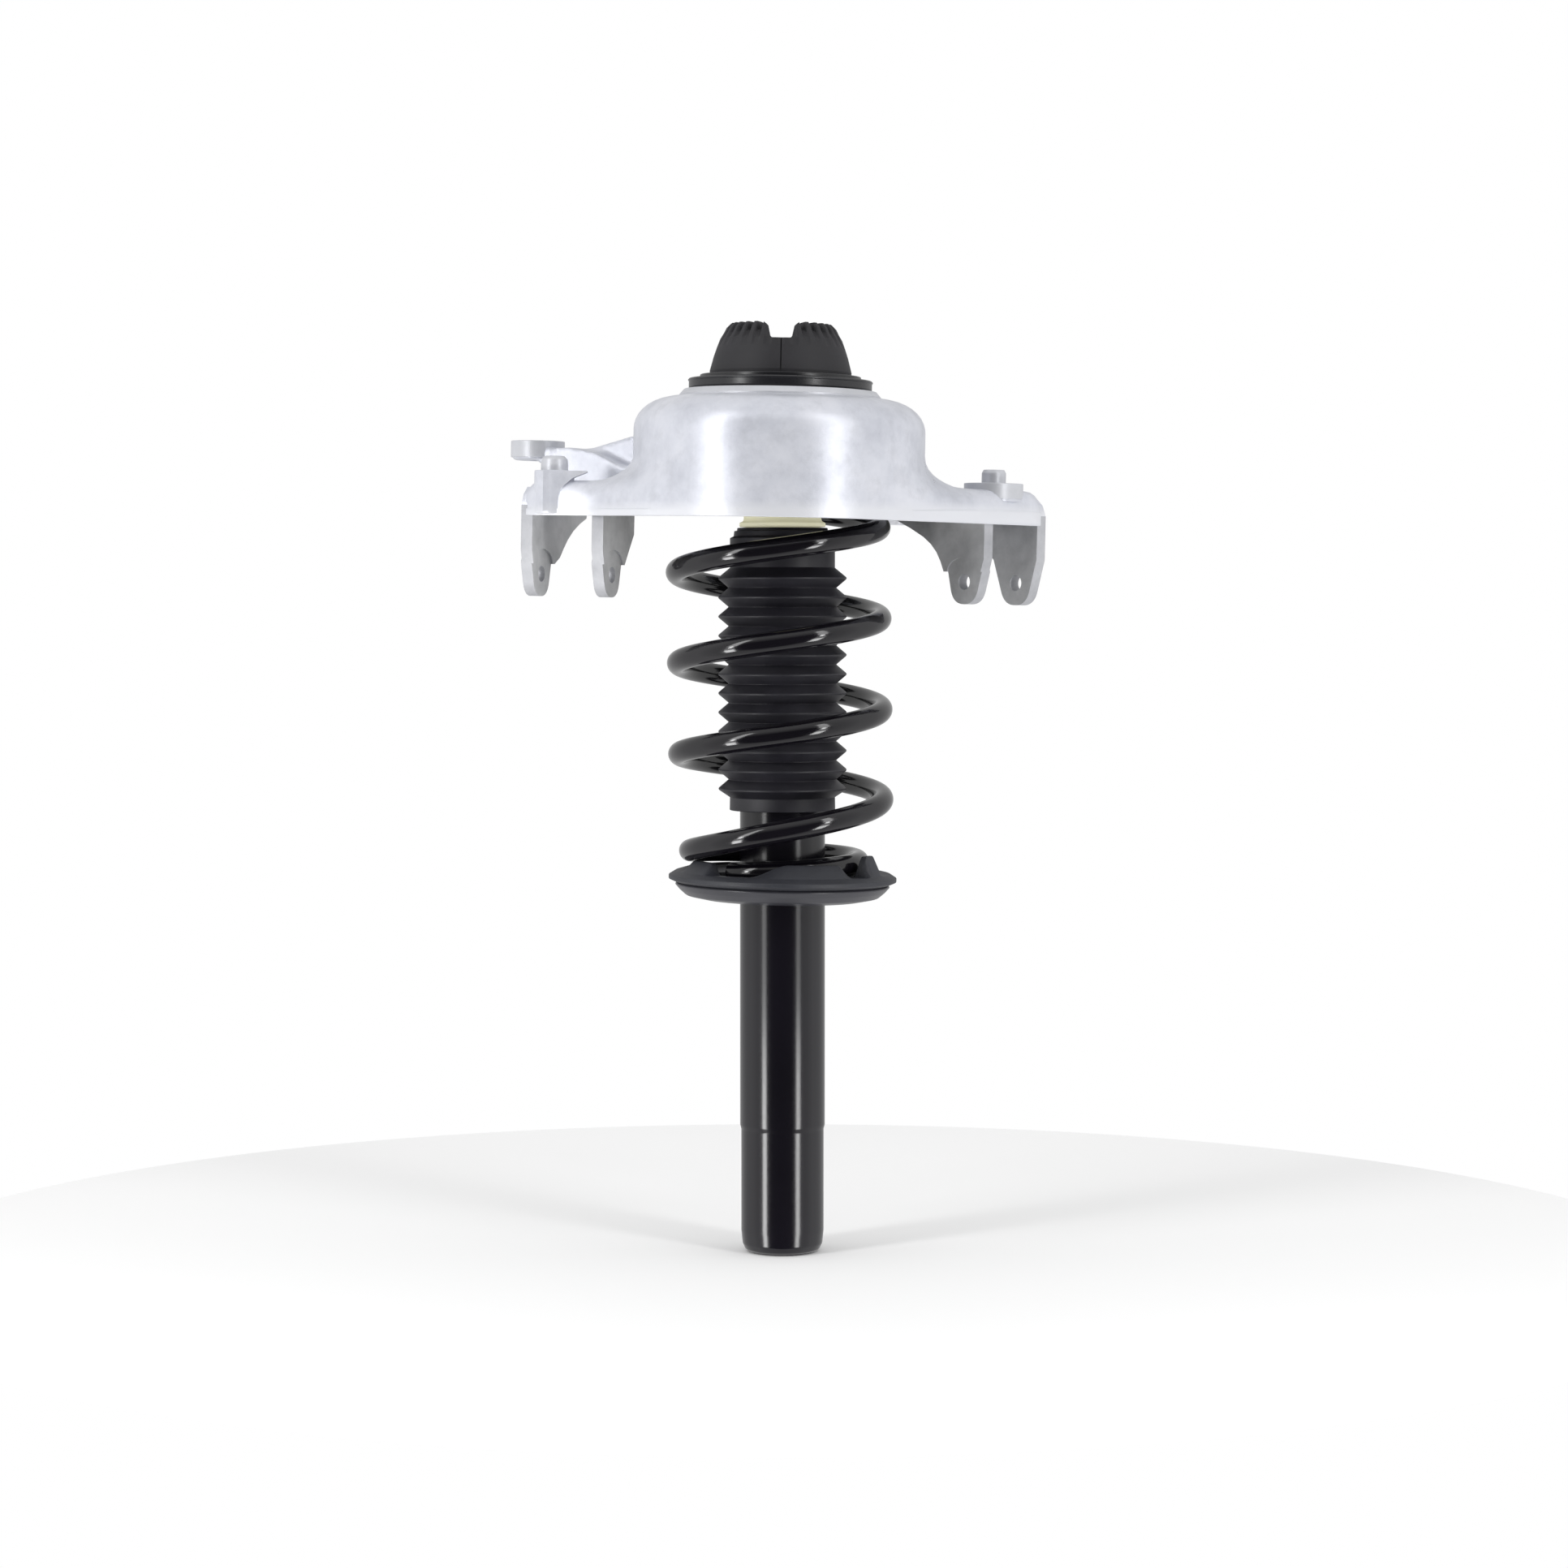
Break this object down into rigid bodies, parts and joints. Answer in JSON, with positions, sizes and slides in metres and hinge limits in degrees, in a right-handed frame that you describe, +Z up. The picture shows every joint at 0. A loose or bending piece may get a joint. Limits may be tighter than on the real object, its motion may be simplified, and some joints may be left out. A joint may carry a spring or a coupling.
{
  "type": "strut assembly",
  "caption": "Front suspension strut: twin-tube damper with coil spring, dust boot, spring seats, rubber top mount and a cast bracket with clevises for the upper control arms.",
  "frame": {"origin": "centre of the flat foot of the damper tube", "axes": "+Z up the damper's axis to the top mount, +X along the car, +Y towards the wheel, so the clevises open towards +Y"},
  "size_m": [0.3559, 0.1945, 0.6046],
  "materials": {
    "cast_aluminium": "satin cast, fine grain",
    "flange_black": "semi-gloss black",
    "mount_rubber": "matte moulded rubber",
    "seat_rubber": "matte moulded rubber",
    "boot_rubber": "satin moulded rubber",
    "black_paint": "gloss black paint",
    "spring_paint": "gloss black powder coat",
    "cream_foam": "matte micro-cellular foam",
    "hard_chrome": "polished",
    "plain_steel": "machined",
    "plated_steel": "zinc plated",
    "bearing_plastic": "matte"
  },
  "bodies": {
    "bracket": {"mount_bracket": "cast_aluminium", "mount_flange_ring": "flange_black", "mount_locking_plate": "flange_black"},
    "rubber_mount": {"mount_rubber": "mount_rubber"},
    "rod": {"mount_core": "plain_steel", "top_washer": "plated_steel", "rod_nut": "plated_steel", "upper_spring_plate": "black_paint", "upper_spring_insulator": "seat_rubber", "coil_spring": "spring_paint", "bump_stop_cup": "flange_black", "bump_stop": "cream_foam", "dust_boot": "boot_rubber", "piston_rod": "hard_chrome", "rebound_stop": "bearing_plastic", "piston": "plain_steel", "piston_band": "bearing_plastic", "piston_valve_shims": "plated_steel", "piston_nut": "plated_steel"},
    "tube": {"outer_tube": "black_paint", "base_cap": "black_paint", "base_valve": "plain_steel", "inner_tube": "plain_steel", "rod_guide": "plain_steel", "rod_seal": "seat_rubber", "tube_end_cap": "plated_steel", "lower_spring_pan": "black_paint", "lower_spring_insulator": "seat_rubber"}
  },
  "joints": [
    {"name": "mount_tilt_fore_aft", "type": "hinge", "parent": "bracket", "child": "rubber_mount", "pos_m": [0, 0, 0.555], "axis": [0, 1, 0], "range_deg": [-3, 3], "stiffness_Nm_per_rad": 150, "deforming": ["mount_rubber"]},
    {"name": "mount_tilt_sideways", "type": "hinge", "parent": "rubber_mount", "child": "rod", "pos_m": [0, 0, 0.555], "axis": [1, 0, 0], "range_deg": [-3, 3], "stiffness_Nm_per_rad": 150},
    {"name": "damper_stroke", "type": "slide", "parent": "rod", "child": "tube", "axis": [0, 0, 1], "range_m": [0, 0.12], "stiffness_N_per_m": 41000, "springref_m": -0.03, "deforming": ["coil_spring", "dust_boot", "bump_stop"]}
  ]
}
